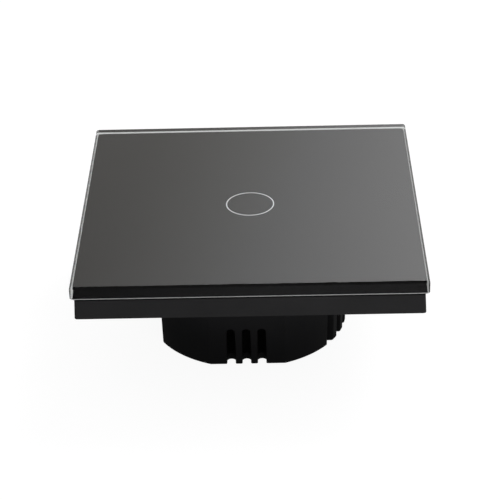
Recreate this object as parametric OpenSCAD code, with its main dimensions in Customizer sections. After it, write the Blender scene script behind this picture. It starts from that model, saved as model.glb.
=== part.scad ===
// Touch light switch with a square glass panel, for a round flush wall box.
// The wall is the plane z = 0 and +Z points out of it. The origin lies midway between
// the screws of the wall box. Sizes are in millimetres.

/* [Glass panel] */
// Side of the square glass
glass_w = 80; // [78:0.5:86]
// Thickness of the glass
glass_t = 3.4; // [2:0.1:5]
// Radius of the glass's corners
glass_corner_r = 0.8; // [0.8:0.1:4]
// Polished bevel along the glass's front edges
glass_bevel = 0.45; // [0.2:0.05:0.6]
// Ground chamfer along the glass's rear edges
glass_chamfer = 0.5; // [0.2:0.05:0.6]
// Thickness of the ink on the back of the glass
print_t = 0.1; // [0.05:0.05:0.2]
// Clear margin between the glass's edge and the ink
print_margin = 0.5; // [0.4:0.1:2]
// Mean radius of the ring that marks the touch point
ring_r = 5.65; // [4:0.05:6]
// Width of the ring's line
ring_line = 0.3; // [0.2:0.05:0.8]

/* [Panel frame] */
// How far the frame stands back from the glass's edge
frame_inset = 0.85; // [0.3:0.05:1.2]
// Height of the frame in front of the wall
frame_h = 4.7; // [4.6:0.1:8]
// Thickness of the frame's outer walls
frame_wall = 1.6; // [1:0.1:2]
// Radius of the frame's corners
frame_corner_r = 0.5; // [0.4:0.1:3]
// Draft of the frame's outer walls in degrees
frame_draft = 3; // [1:0.5:4]
// Thickness of the deck that the glass is stuck to
deck_t = 1.2; // [0.8:0.1:1.6]
// Thickness of the adhesive tape
tape_t = 0.4; // [0.2:0.1:1]
// Width of the adhesive tape
tape_w = 7; // [3:0.5:8]
// Width of a snap hook
hook_w = 8; // [4:0.5:14]
// Thickness of a snap hook's arm
hook_t = 1.2; // [0.8:0.1:1.6]
// Sideways distance of the snap hooks from the middle
hook_x = 17; // [16:0.5:19]
// How far a hook's barb reaches under its lip
barb = 0.5; // [0.2:0.1:1]
// Width of the notch for prising the panel off
pry_w = 10; // [4:0.5:16]
// Height of the notch for prising the panel off
pry_h = 1.2; // [0.6:0.1:2]

/* [Mounting plate] */
// Gap between the steel plate's edges and the frame's walls
plate_margin = 2.55; // [2.2:0.05:3.5]
// Thickness of the steel plate
plate_t = 1; // [0.8:0.1:1.2]
// Radius of the plate's corners
plate_corner_r = 3; // [1:0.5:6]
// Distance of the screw slots' middles from the plate's edge
slot_edge = 5; // [4.5:0.25:6]
// Width of the plate's screw slots
slot_w = 4.2; // [3.2:0.1:5]
// Length of the plate's screw slots
slot_l = 7; // [5.5:0.5:7.5]
// Strip of the plate between the connector's opening and the housing screws' holes
opening_strip = 1; // [0.8:0.1:4]
// Height of the raised lips above the wall
lip_rise = 1.9; // [1.6:0.1:2.2]
// Depth of the raised lips
lip_depth = 3; // [2:0.1:3.5]
// Length of each raised lip
lip_l = 20; // [16:0.5:22]

/* [Front cover] */
// Side of the square cover over the touch board
cover_w = 54; // [50:0.5:58]
// Thickness of the cover's side walls
cover_wall = 1.5; // [1:0.1:2.5]
// Thickness of the cover's top
cover_t = 1; // [0.8:0.1:1.4]
// Radius of the cover's corners
cover_corner_r = 3; // [1:0.5:6]
// Gap between the cover's top and the ink
panel_gap = 0.4; // [0.3:0.1:0.8]
// Radius of the light guide behind the ring
guide_r = 6.2; // [5:0.1:8]

/* [Touch board] */
// Thickness of the touch board
touch_t = 1.2; // [0.8:0.1:1.4]
// Outer radius of the copper touch pad
pad_r = 12; // [9.5:0.5:16]
// Length of the touch chip
chip_l = 4.9; // [3:0.1:7]
// Pins in the board connector
header_pins_n = 5; // [3:1:6]
// Pin pitch of the board connector
header_pitch = 2.54; // [2:0.02:2.6]

/* [Rear housing] */
// Radius of the round wall at the plate
housing_r = 24.5; // [24:0.1:25.6]
// Depth of the housing behind the wall
housing_depth = 24; // [23.6:0.2:36]
// Thickness of the housing's wall
housing_wall = 1.8; // [1.4:0.1:2.2]
// Thickness of the housing's floor
floor_t = 1.8; // [1.2:0.1:2.2]
// Draft of the moulded walls in degrees
draft = 1; // [0.5:0.25:2]
// Depth of the two end flats below the round wall
end_cut = 1.7; // [0.8:0.1:2.4]
// Depth of the wire side's flat below the round wall
wire_cut = 3.4; // [2.8:0.1:4]
// Sideways place of the round wall's axis
housing_shift = -1.1; // [-2:0.1:0]
// Rounding of the floor's outer edge
edge_r = 0.4; // [0.3:0.1:1.2]
// Width of a vent slot
vent_w = 2; // [1.2:0.1:2.4]
// Height of a vent slot
vent_h = 10; // [5:0.5:12]
// Depth of a vent slot from the outer face
vent_depth = 2.3; // [2:0.1:3]
// Pitch of the vent slots in the end flats
vent_pitch = 3.65; // [3.2:0.05:4.5]
// Sideways place of the end flats' vents from the round wall's axis
vent_shift = -0.3; // [-1:0.1:1]
// Pitch of the vent slots in the round wall
side_vent_pitch = 3.9; // [3.2:0.05:4]
// Distance of the screw columns' axes from the round wall
column_inset = 5; // [4.6:0.1:5.2]
// Angle of the screw columns from the wire side's direction in degrees
column_angle = 52; // [51:0.5:54]
// Radius of the screw columns
column_r = 3.2; // [3:0.1:3.4]
// Radius of the housing screws
screw_r = 1.1; // [0.9:0.05:1.3]

/* [Power board] */
// Depth of the power board's front face behind the wall
power_depth = 3.9; // [3:0.1:4.1]
// Thickness of the power board
power_t = 1.6; // [1.2:0.1:1.8]

/* [Terminals] */
// Gap between the terminal block and the screw columns
block_gap = 1.3; // [0.4:0.1:2]
// Radius of a wire entry
wire_r = 1.6; // [1.2:0.1:1.8]
// Clear height for the wire in an open clamp
wire_gap = 3; // [2.8:0.1:3.6]
// Travel of a clamp from open to closed
clamp_travel = 2.5; // [1.5:0.1:2.7]
// Width of a clamp's cage
cage_w = 4.8; // [4.4:0.1:5]
// Radius of a terminal screw's shank
terminal_screw_r = 1.45; // [1.2:0.05:1.6]
// Radius of a terminal screw's head
terminal_head_r = 1.95; // [1.7:0.05:2.1]

/* [Relay] */
// Length of the relay
relay_l = 18; // [17.4:0.2:19]
// Width of the relay
relay_w = 10.2; // [9.8:0.1:10.6]
// Height of the relay
relay_h = 12.6; // [12.2:0.1:14]
// Air gap between the armature and the core at rest
air_gap = 0.6; // [0.5:0.05:0.8]
// Radius of the coil's winding
coil_r = 3.5; // [2.8:0.1:3.8]

/* [Power parts] */
// Length of the film capacitor
film_l = 15; // [12:0.5:16]
// Width of the film capacitor
film_w = 6; // [4:0.5:6.5]
// Height of the film capacitor
film_h = 11; // [8:0.5:13]
// Radius of the smoothing capacitor
smoothing_r = 4; // [3:0.1:4.4]
// Height of the smoothing capacitor
smoothing_h = 12; // [8:0.5:14]
// Radius of the varistor's disc
varistor_r = 4.2; // [3:0.1:5]
// Length of the fusible resistor's body
fuse_l = 8; // [6:0.5:10]

/* [Hidden] */
$fn = 64;

// Running clearance beside a sliding or plugged piece
clear = 0.2;
// Clearance round a piece that seats in a pocket or over a pin
fit = 0.1;
// Radial clearance of a thread, drawn plain
thread_fit = 0.05;
// Overshoot of a cutting tool
cut = 1;
// Larger than any piece, for half spaces
big = 120;

// Heights of the panel's layers above the wall
z_deck = frame_h - deck_t;
z_tape = frame_h;
z_print = z_tape + tape_t;
z_glass = z_print + print_t;

// Plan sizes of the panel
frame_w = glass_w - 2 * frame_inset;
frame_in = frame_w - 2 * frame_wall;
plate_w = frame_in - 2 * plate_margin;
screw_spacing = plate_w - 2 * slot_edge;
frame_inner_r = 0.6;
cover_space = 2;
deck_opening = cover_w + 2 * cover_space;
print_w = glass_w - 2 * print_margin;
print_corner_r = glass_corner_r / 2;
tape_edge = 0.4;
pad_l = 3;
pad_w = 1.6;

// Lips and hooks
lip_top = lip_rise + plate_t;
lip_relief = 0.8;
hook_y = plate_w / 2 + clear;
barb_top = lip_rise - clear;
barb_h = 1;

// Heights inside the cover
z_cover = z_print - panel_gap;
z_ceiling = z_cover - cover_t;
guide_gap = 0.2;
z_guide = z_print - guide_gap;
board_drop = 0.5;
z_touch = z_ceiling - board_drop;
z_touch_rear = z_touch - touch_t;
board_gap = 0.5;
touch_w = cover_w - 2 * (cover_wall + board_gap);
pad_t = 0.1;
flange_t = 0.3;
flange_w = 1;
led_h = 0.6;
led_l = 2;
led_w = 1.25;
led_x = 3;
chip_x = 5;
part_size = [1.6, 0.8, 0.5];
part_row_y = 7;
part_pitch = 3.2;
part_shift = 2;

// Cover bosses and housing screws
boss_r = 2.4;
shoulder_w = 1;
head_r = 2.1;
head_h = 1.6;
seat_depth = 2.5;
tip_gap = 0.6;

// Plan of the housing
end_flat = housing_r - end_cut;
wire_flat = housing_r - wire_cut;
column_x = (housing_r - column_inset) * cos(column_angle);
column_y = (housing_r - column_inset) * sin(column_angle);
opening_w = 2 * (column_y - screw_r - clear - opening_strip);

// Heights behind the wall
z_power = -power_depth;
z_mount = z_power - power_t;
z_floor = floor_t - housing_depth;
z_seat = z_mount - seat_depth;

// Board connector
header_w = 2.5;
header_x = 5;
strip_h = 2;
pin_w = 0.64;
z_strip = z_power + strip_h;

// Terminal levels, counted down from the power board
block_front_t = 0.7;
block_wall = 1.2;
cage_front_t = 0.9;
bar_t = 1;
nut_t = 1.8;
web_t = 0.8;
terminal_head_h = 2;
z_cavity = z_mount - block_front_t;
z_cage = z_cavity - clear;
z_gap = z_cage - cage_front_t;
z_wire = z_gap - wire_gap / 2;
z_bar = z_gap - wire_gap;
z_tip = z_bar - bar_t;
z_nut = z_tip - clear;
z_cage_end = z_nut - nut_t;
z_web = z_cage_end - clamp_travel - clear;
z_head = z_web - web_t;

// Terminal plan sizes
poles = 3;
cage_l = 4.6;
cage_side = 0.7;
cavity_w = cage_w + 2 * clear;
block_w = 2 * (column_y - column_r - block_gap);
pole_pitch = (block_w - cavity_w - 2 * block_wall) / (poles - 1);
block_x = housing_shift - wire_flat + housing_wall + 2 * clear + housing_depth * tan(draft);
cage_x = block_x + block_wall + 2 * clear + cage_l / 2;
leg_t = 0.8;
leg_space = 2;
bar_leg_x = cage_l / 2 + leg_space;
block_end = cage_x + bar_leg_x + 2 * leg_t;
bar_w = cage_w - 2 * cage_side - 2 * fit;
nose_rim = 0.7;
nose_h = 2 * (wire_r + nose_rim);
nose_w = block_w - 2 * nose_rim;
driver_gap = 0.45;
driver_r = terminal_head_r + driver_gap;

// Places on the power board, from the terminal block to the round wall
part_gap = (housing_r - housing_wall + housing_shift - block_end - film_w - relay_w
            - 2 * smoothing_r) / 4;
film_x = block_end - housing_shift + part_gap + film_w / 2;
relay_x = film_x + film_w / 2 + part_gap + relay_w / 2;
smoothing_x = relay_x + relay_w / 2 + part_gap + smoothing_r;
edge_space = 6;
edge_y = end_flat - housing_wall - edge_space;
beside_relay = 2;
edge_x = relay_x - relay_w / 2 + beside_relay;
rectifier_size = [4.7, 3.9, 2.4];
rectifier_leg = [0.6, 1, 0.9];
rectifier_gap = 0.6;
rectifier_y = film_l / 2 + rectifier_gap + (rectifier_size[1] + rectifier_leg[1]) / 2;

// Relay levels, counted up from the board in the relay's own frame
relay_base_t = 1.6;
relay_skin = 0.6;
yoke_t = 1;
yoke_gap = 0.6;
yoke_x = relay_skin + yoke_gap - relay_l / 2;
yoke_w = 6;
coil_gap = 1;
coil_x = yoke_x + yoke_t + coil_r + coil_gap;
flange_h = 0.6;
core_r = 1.4;
pole_h = 6.4;
armature_t = 0.9;
spring_t = 0.25;
spring_w = 3;
contact_t = 0.4;
yoke_top = relay_base_t + yoke_t + pole_h + air_gap;
contact_r = 0.8;
contact_x = relay_l / 2 - relay_skin - 2 * contact_r;
armature_angle = 3;
contact_gap = (contact_x - yoke_x - yoke_t) * sin(armature_angle) + thread_fit;
blade_t = 0.5;

// Outline of a rectangle with round corners, centred
module rounded_outline(l, w, r) {
    square([l - 2 * r, w], center = true);
    square([l, w - 2 * r], center = true);
    for (x = [-1, 1], y = [-1, 1])
        translate([x * (l / 2 - r), y * (w / 2 - r)]) circle(r);
}

// Plate with round corners that stands on z = 0
module rounded_plate(l, w, h, r) {
    linear_extrude(h) rounded_outline(l, w, r);
}

// Square plate with round corners, whose edge runs through points of outward offset and height
module edged_plate(w, r, edge) {
    half = w / 2;
    last = len(edge) - 1;
    right = [for (p = edge) [half + p[0], p[1]]];
    left = [for (i = [last : -1 : 0]) [-half - edge[i][0], edge[i][1]]];
    corner = [for (p = edge) [r + p[0], p[1]]];
    for (turn = [0, 90])
        rotate([90, 0, turn])
            linear_extrude(w - 2 * r, center = true) polygon(concat(right, left));
    for (x = [-1, 1], y = [-1, 1])
        translate([x * (half - r), y * (half - r), 0])
            rotate_extrude()
                polygon(concat([[0, edge[0][1]]], corner, [[0, edge[last][1]]]));
}

// Box from a low corner to a high corner
module box(low, high) {
    translate(low) cube(high - low);
}

// Straight slot with round ends along X, centred
module slot_outline(l, w) {
    square([l - w, w], center = true);
    for (x = [-1, 1]) translate([x * (l - w) / 2, 0]) circle(w / 2);
}

// Copies at the four housing screws
module at_columns() {
    for (x = [-1, 1], y = [-1, 1])
        translate([housing_shift + x * column_x, y * column_y, 0]) children();
}

// Copies at the four snap hooks, with the local +Y axis pointing outwards
module at_hooks() {
    for (x = [-1, 1], turn = [0, 180])
        rotate([0, 0, turn]) translate([x * hook_x, 0, 0]) children();
}

// Sideways place of one terminal, counted from 1
function pole_y(i) = (i - (poles + 1) / 2) * pole_pitch;

// Copies at the terminals
module at_poles() {
    for (i = [1 : poles]) translate([cage_x, pole_y(i), 0]) children();
}

// A part that stands on the rear face of the power board, modelled upright from z = 0
module on_power_board(x, y, turn = 0) {
    translate([housing_shift + x, y, z_mount]) rotate([180, 0, turn]) children();
}

// A part that stands on the rear face of the touch board, modelled upright from z = 0
module on_touch_board(x, y) {
    translate([x, y, z_touch_rear]) rotate([180, 0, 0]) children();
}

// Panel

module glass_panel() {
    edge = [
        [-glass_chamfer, 0],
        [0, glass_chamfer],
        [0, glass_t - glass_bevel],
        [-glass_bevel, glass_t],
    ];
    color([0.75, 0.82, 0.8, 0.4])
        translate([0, 0, z_glass]) edged_plate(glass_w, glass_corner_r, edge);
}

// Black ink with a ring left open, so it is a sheet with a loose disc in it
module back_print() {
    color([0.02, 0.02, 0.02])
        translate([0, 0, z_print]) {
            difference() {
                rounded_plate(print_w, print_w, print_t, print_corner_r);
                translate([0, 0, -cut]) cylinder(r = ring_r + ring_line / 2, h = print_t + 2 * cut);
            }
            cylinder(r = ring_r - ring_line / 2, h = print_t);
        }
}

// Pale translucent ink in the ring
module touch_ring() {
    color([0.9, 0.9, 0.9])
        translate([0, 0, z_print])
            difference() {
                cylinder(r = ring_r + ring_line / 2, h = print_t);
                translate([0, 0, -cut]) cylinder(r = ring_r - ring_line / 2, h = print_t + 2 * cut);
            }
}

// Adhesive between the ink and the frame's deck
module glass_tape() {
    outer = frame_w - 2 * tape_edge;
    inner = outer - 2 * tape_w;
    color([0.05, 0.05, 0.05])
        translate([0, 0, z_tape])
            difference() {
                rounded_plate(outer, outer, tape_t, frame_corner_r);
                translate([0, 0, -cut])
                    rounded_plate(inner, inner, tape_t + 2 * cut, frame_corner_r);
            }
}

// One snap hook: an arm under the deck with a barb that catches a lip of the plate
module snap_hook() {
    rotate([90, 0, 90])
        linear_extrude(hook_w, center = true)
            polygon([[hook_y, z_deck + deck_t / 2], [hook_y, barb_top],
                     [plate_w / 2 - barb, barb_top], [hook_y, barb_top - barb_h],
                     [hook_y + hook_t, barb_top - barb_h], [hook_y + hook_t, z_deck + deck_t / 2]]);
}

// Moulded frame behind the glass: walls, deck, snap hooks, seating pads and a prising notch
module panel_frame() {
    flare = frame_h * tan(frame_draft);
    color([0.06, 0.06, 0.065])
        difference() {
            union() {
                difference() {
                    edged_plate(frame_w, frame_corner_r, [[flare, 0], [0, frame_h]]);
                    translate([0, 0, -cut])
                        rounded_plate(frame_in, frame_in, z_deck + cut, frame_inner_r);
                    rounded_plate(deck_opening, deck_opening, frame_h + cut, cover_corner_r);
                }
                at_hooks() snap_hook();
                at_hooks()
                    for (x = [-1, 1])
                        translate([x * (hook_w + pad_l) / 2, plate_w / 2 - pad_w, lip_top])
                            translate([-pad_l / 2, 0, 0])
                                cube([pad_l, pad_w, z_deck - lip_top + deck_t / 2]);
            }
            translate([-pry_w / 2, frame_in / 2 - cut, -cut])
                cube([pry_w, frame_wall + 2 * cut, pry_h + cut]);
        }
}

// Module front

// Pressed steel plate: screw slots, connector opening and four raised lips for the hooks
module mounting_plate() {
    lip_y = plate_w / 2 - lip_depth;
    color([0.72, 0.73, 0.75])
        difference() {
            union() {
                difference() {
                    rounded_plate(plate_w, plate_w, plate_t, plate_corner_r);
                    at_hooks()
                        translate([-lip_l / 2 - lip_relief, lip_y + plate_t, -cut])
                            cube([lip_l + 2 * lip_relief, lip_depth + cut, plate_t + 2 * cut]);
                }
                at_hooks() {
                    translate([-lip_l / 2, lip_y, 0]) cube([lip_l, plate_t, lip_top]);
                    translate([-lip_l / 2, lip_y, lip_rise]) cube([lip_l, lip_depth, plate_t]);
                }
            }
            translate([0, 0, -cut]) {
                rounded_plate(opening_w, opening_w, plate_t + 2 * cut, plate_corner_r);
                for (turn = [0 : 90 : 270])
                    rotate([0, 0, turn]) translate([screw_spacing / 2, 0, 0])
                        linear_extrude(plate_t + 2 * cut) slot_outline(slot_l, slot_w);
                at_columns() cylinder(r = screw_r + clear, h = plate_t + 2 * cut);
            }
        }
}

// Plastic cover over the touch board, with a boss for each housing screw
module front_cover() {
    inner = cover_w - 2 * cover_wall;
    color([0.08, 0.08, 0.085])
        difference() {
            union() {
                translate([0, 0, plate_t])
                    difference() {
                        rounded_plate(cover_w, cover_w, z_cover - plate_t, cover_corner_r);
                        translate([0, 0, -cut])
                            rounded_plate(inner, inner, z_ceiling - plate_t + cut,
                                          max(cover_corner_r - cover_wall, 0.5));
                    }
                at_columns() {
                    translate([0, 0, plate_t])
                        cylinder(r = boss_r, h = z_ceiling - plate_t + cover_t / 2);
                    translate([0, 0, z_touch])
                        cylinder(r = boss_r + shoulder_w, h = board_drop + cover_t / 2);
                }
            }
            translate([0, 0, z_ceiling - cut])
                cylinder(r = guide_r + fit, h = cover_t + 2 * cut);
            at_columns()
                translate([0, 0, plate_t - cut])
                    cylinder(r = screw_r + thread_fit, h = z_touch - plate_t + cut);
        }
}

// Clear plug that carries the lamps' light to the ring, held by a flange under the cover
module light_guide() {
    hollow_top = z_touch + led_h + fit;
    color([0.92, 0.94, 0.95])
        difference() {
            union() {
                translate([0, 0, z_ceiling - flange_t])
                    cylinder(r = guide_r, h = z_guide - z_ceiling + flange_t);
                translate([0, 0, z_ceiling - flange_t])
                    cylinder(r = guide_r + flange_w, h = flange_t);
            }
            translate([0, 0, z_ceiling - flange_t - cut])
                cylinder(r = guide_r - 1, h = hollow_top - z_ceiling + flange_t + cut);
        }
}

module touch_board() {
    color([0.05, 0.28, 0.16])
        difference() {
            translate([0, 0, z_touch_rear])
                rounded_plate(touch_w, touch_w, touch_t, max(cover_corner_r - cover_wall, 0.5));
            at_columns()
                translate([0, 0, z_touch_rear - cut])
                    cylinder(r = boss_r + fit, h = touch_t + 2 * cut);
        }
}

// Copper electrode that senses the finger
module touch_pad() {
    color([0.85, 0.5, 0.25])
        translate([0, 0, z_touch])
            difference() {
                cylinder(r = pad_r, h = pad_t);
                translate([0, 0, -cut]) cylinder(r = guide_r + flange_w, h = pad_t + 2 * cut);
            }
}

module indicator_leds() {
    color([0.95, 0.95, 0.85])
        for (x = [-1, 1])
            translate([x * led_x - led_l / 2, -led_w / 2, z_touch]) cube([led_l, led_w, led_h]);
}

// Touch chip with four gull-wing legs on each side
module touch_chip() {
    body_w = 3.9;
    body_h = 1.2;
    leg_w = 0.45;
    leg_reach = 1;
    leg_h = 0.25;
    lift = 0.1;
    legs = 4;
    color([0.1, 0.1, 0.1])
        on_touch_board(-chip_x, 0) {
            translate([-chip_l / 2, -body_w / 2, lift]) cube([chip_l, body_w, body_h]);
            for (i = [0 : legs - 1], side = [-1, 1])
                translate([(i - (legs - 1) / 2) * chip_l / legs, side * (body_w + leg_reach) / 2, 0])
                    translate([-leg_w / 2, -leg_reach / 2 - leg_h, 0])
                        cube([leg_w, leg_reach + 2 * leg_h, leg_h]);
        }
}

// Chip resistors and capacitors in two rows
module touch_board_parts() {
    per_row = 5;
    color([0.75, 0.68, 0.55])
        for (i = [0 : per_row - 1], side = [-1, 1])
            on_touch_board((i - (per_row - 1) / 2) * part_pitch - part_shift, side * part_row_y)
                translate([-part_size[0] / 2, -part_size[1] / 2, 0]) cube(part_size);
}

// Board connector

// Copies at the connector's pins
module at_pins() {
    for (i = [0 : header_pins_n - 1])
        translate([header_x, (i - (header_pins_n - 1) / 2) * header_pitch, 0]) children();
}

// Plastic bar of the connector between two heights, with a square hole for each pin
module header_bar(low, high, hole) {
    length = header_pins_n * header_pitch;
    difference() {
        box([header_x - header_w / 2, -length / 2, low], [header_x + header_w / 2, length / 2, high]);
        at_pins()
            translate([-hole / 2, -hole / 2, low - cut]) cube([hole, hole, high - low + 2 * cut]);
    }
}

module header_socket() {
    color([0.07, 0.07, 0.07]) header_bar(z_strip, z_touch_rear, pin_w + 2 * fit);
}

module header_strip() {
    color([0.07, 0.07, 0.07]) header_bar(z_power, z_strip, pin_w + 2 * thread_fit);
}

module header_pins() {
    color([0.85, 0.7, 0.3])
        at_pins()
            translate([-pin_w / 2, -pin_w / 2, z_power])
                cube([pin_w, pin_w, z_touch_rear - z_power - 2 * clear]);
}

// Rear housing

// Outline of a drafted wall and its rounded foot, from a height above the wall down to a depth
function wall_outline(reach, rise, depth, foot) =
    let (steps = 6,
         foot_x = reach - (depth - foot) * tan(draft) - foot)
    concat([[reach + rise * tan(draft), rise]],
           [for (i = [0 : steps])
               let (a = 90 * i / steps)
               [foot_x + foot * cos(a), foot * (1 - sin(a)) - depth]]);

// Round body with two end flats and a flat on the wire side, drawn in by an inset
module housing_form(inset, rise, depth, foot) {
    round_wall = wall_outline(housing_r - inset, rise, depth, foot);
    flats = [[end_flat, 90], [end_flat, -90], [wire_flat, 180]];
    translate([housing_shift, 0, 0])
        intersection() {
            rotate_extrude() polygon(concat([[0, rise]], round_wall, [[0, -depth]]));
            intersection_for(flat = flats)
                flat_side(flat[0] - inset, flat[1], rise, depth, foot);
        }
}

// Half space behind one drafted flat
module flat_side(reach, turn, rise, depth, foot) {
    outline = wall_outline(reach, rise, depth, foot);
    rotate([90, 0, turn])
        linear_extrude(big, center = true)
            polygon(concat([[-big / 2, rise]], outline, [[-big / 2, -depth]]));
}

// Cutter for one vent: round head, open foot and a round inner end, outward along +X
module vent_cut() {
    low = -housing_depth - cut;
    high = vent_h - housing_depth;
    out = 2 * cut;
    intersection() {
        translate([0, 0, low])
            linear_extrude(high - low) {
                translate([vent_w / 2 - vent_depth, -vent_w / 2])
                    square([vent_depth + out - vent_w / 2, vent_w]);
                translate([vent_w / 2 - vent_depth, 0]) circle(vent_w / 2);
            }
        rotate([90, 0, 90])
            translate([0, 0, -vent_depth - cut])
                linear_extrude(vent_depth + out + 2 * cut) {
                    translate([-vent_w / 2, low]) square([vent_w, high - vent_w / 2 - low]);
                    translate([0, high - vent_w / 2]) circle(vent_w / 2);
                }
    }
}

// Vents through both end flats and through the round wall
module vents() {
    end_vents = 3;
    side_vents = 8;
    foot_draw = housing_depth * tan(draft);
    foot_r = housing_r - foot_draw;
    translate([housing_shift, 0, 0]) {
        for (turn = [90, -90], i = [0 : end_vents - 1])
            translate([vent_shift, 0, 0]) rotate([0, 0, turn])
                translate([end_flat - foot_draw, (i - (end_vents - 1) / 2) * vent_pitch, 0]) vent_cut();
        for (i = [0 : side_vents - 1])
            let (y = (i - (side_vents - 1) / 2) * side_vent_pitch)
                translate([sqrt(foot_r * foot_r - y * y), y, 0]) vent_cut();
    }
}

// Moulded housing: drafted shell, screw columns, vents, a window for the wires and driver holes
module rear_housing() {
    counterbore_r = head_r + 2 * fit;
    lead_in = 0.6;
    color([0.05, 0.05, 0.055])
        difference() {
            union() {
                difference() {
                    housing_form(0, 0, housing_depth, edge_r);
                    housing_form(housing_wall, cut, housing_depth - floor_t, edge_r / 2);
                }
                at_columns() {
                    box_h = z_mount - z_floor + floor_t / 2;
                    translate([0, 0, z_mount - box_h]) cylinder(r = column_r, h = box_h);
                    translate([0, 0, z_mount - cut]) cylinder(r = boss_r, h = cut - z_mount);
                }
            }
            vents();
            at_columns() {
                translate([0, 0, -housing_depth - cut])
                    cylinder(r = counterbore_r, h = z_seat + housing_depth + cut);
                translate([0, 0, z_seat - cut]) cylinder(r = screw_r + clear, h = 2 * cut - z_seat);
            }
            at_poles() {
                translate([0, 0, -housing_depth - cut]) cylinder(r = driver_r, h = floor_t + 2 * cut);
                translate([0, 0, -housing_depth])
                    cylinder(r1 = driver_r + lead_in, r2 = driver_r, h = lead_in);
            }
            box([housing_shift - wire_flat - cut, -nose_w / 2 - fit, z_wire - nose_h / 2 - fit],
                [block_x - fit, nose_w / 2 + fit, z_wire + nose_h / 2 + fit]);
        }
}

// Screws that clamp housing, plate and cover together, with crossed recesses
module housing_screws() {
    recess_w = 0.7;
    recess_l = 2.4;
    recess_d = 0.9;
    color([0.7, 0.7, 0.72])
        at_columns()
            difference() {
                union() {
                    translate([0, 0, z_seat - head_h]) cylinder(r = head_r, h = head_h);
                    translate([0, 0, z_seat - head_h / 2])
                        cylinder(r = screw_r, h = z_touch - tip_gap - z_seat + head_h / 2);
                }
                for (turn = [0, 90])
                    rotate([0, 0, turn])
                        translate([-recess_l / 2, -recess_w / 2, z_seat - head_h - cut])
                            cube([recess_l, recess_w, recess_d + cut]);
            }
}

// Power board and its parts

// Board that follows the inside of the housing and drops over the four columns
module power_board() {
    margin = housing_wall + 2 * clear;
    color([0.05, 0.28, 0.16])
        difference() {
            intersection() {
                housing_form(margin, 0, housing_depth, edge_r);
                box([-big / 2, -big / 2, z_mount], [big / 2, big / 2, z_power]);
            }
            at_columns()
                translate([0, 0, z_mount - cut]) cylinder(r = boss_r + fit, h = power_t + 2 * cut);
        }
}

// Relay place on the power board
module in_relay() {
    on_power_board(relay_x, 0, 90) children();
}

module relay_base() {
    color([0.12, 0.12, 0.12])
        in_relay() translate([0, 0, relay_base_t / 2])
            cube([relay_l, relay_w, relay_base_t], center = true);
}

// Thin box over the mechanism, open towards the base
module relay_cover() {
    half = [relay_l / 2, relay_w / 2, 0];
    skin = [relay_skin, relay_skin, 0];
    color([0.1, 0.16, 0.35])
        in_relay()
            difference() {
                box([0, 0, relay_base_t] - half, [0, 0, relay_h] + half);
                box([0, 0, relay_base_t - cut] - half + skin, [0, 0, relay_h - relay_skin] + half - skin);
            }
}

// Bobbin with its winding
module relay_coil() {
    coil_low = relay_base_t + yoke_t;
    bore_r = core_r + fit;
    flange_r = coil_r + 0.5;
    color([0.72, 0.38, 0.16])
        in_relay()
            translate([coil_x, 0, coil_low])
                rotate_extrude()
                    polygon([[bore_r, 0], [flange_r, 0], [flange_r, flange_h], [coil_r, flange_h],
                             [coil_r, pole_h - 2 * flange_h], [flange_r, pole_h - 2 * flange_h],
                             [flange_r, pole_h - flange_h], [bore_r, pole_h - flange_h]]);
}

// Iron frame with its upright leg and the core inside the coil
module relay_yoke() {
    color([0.62, 0.62, 0.64])
        in_relay() {
            box([yoke_x, -yoke_w / 2, relay_base_t],
                [coil_x + coil_r, yoke_w / 2, relay_base_t + yoke_t]);
            box([yoke_x, -yoke_w / 2, relay_base_t], [yoke_x + yoke_t, yoke_w / 2, yoke_top]);
            translate([coil_x, 0, relay_base_t + yoke_t / 2])
                cylinder(r = core_r, h = pole_h + yoke_t / 2);
        }
}

// Iron plate that tips on the yoke's leg towards the core
module relay_armature() {
    color([0.66, 0.66, 0.68])
        in_relay()
            box([yoke_x, -yoke_w / 2, yoke_top],
                [coil_x + core_r + 1, yoke_w / 2, yoke_top + armature_t]);
}

// Contact blade riveted to the armature, with its contact button
module relay_spring() {
    low = yoke_top + armature_t;
    color([0.8, 0.55, 0.3])
        in_relay() {
            box([coil_x - coil_r, -spring_w / 2, low],
                [contact_x + contact_r, spring_w / 2, low + spring_t]);
            translate([contact_x, 0, low - contact_t])
                cylinder(r = contact_r, h = contact_t + spring_t / 2);
        }
}

// Fixed blade and button below the moving contact
module relay_contacts() {
    face = yoke_top + armature_t - contact_t - contact_gap;
    blade_x = contact_x + contact_r;
    color([0.8, 0.55, 0.3])
        in_relay() {
            translate([contact_x, 0, face - contact_t]) cylinder(r = contact_r, h = contact_t);
            box([contact_x - contact_r, -spring_w / 2, face - contact_t - blade_t],
                [blade_x, spring_w / 2, face - contact_t]);
            box([blade_x - blade_t, -spring_w / 2, relay_base_t],
                [blade_x, spring_w / 2, face - contact_t]);
        }
}

// Boxed capacitor that drops the mains voltage
module film_capacitor() {
    corner = 0.8;
    color([0.72, 0.55, 0.12])
        on_power_board(film_x, 0, 90)
            rounded_plate(film_l, film_w, film_h, corner);
}

// Aluminium can with its crimped groove and stepped rim
module smoothing_capacitor() {
    groove_z = 1.6;
    groove_d = 0.35;
    rim = 0.4;
    color([0.1, 0.1, 0.14])
        on_power_board(smoothing_x, 0)
            rotate_extrude()
                polygon([[0, 0], [smoothing_r, 0], [smoothing_r, groove_z],
                         [smoothing_r - groove_d, groove_z + groove_d],
                         [smoothing_r, groove_z + 2 * groove_d], [smoothing_r, smoothing_h - rim],
                         [smoothing_r - rim, smoothing_h], [0, smoothing_h]]);
}

// Lead from the board up to a height
module lead(x, h, r = 0.35) {
    translate([x, 0, 0]) cylinder(r = r, h = h);
}

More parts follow.
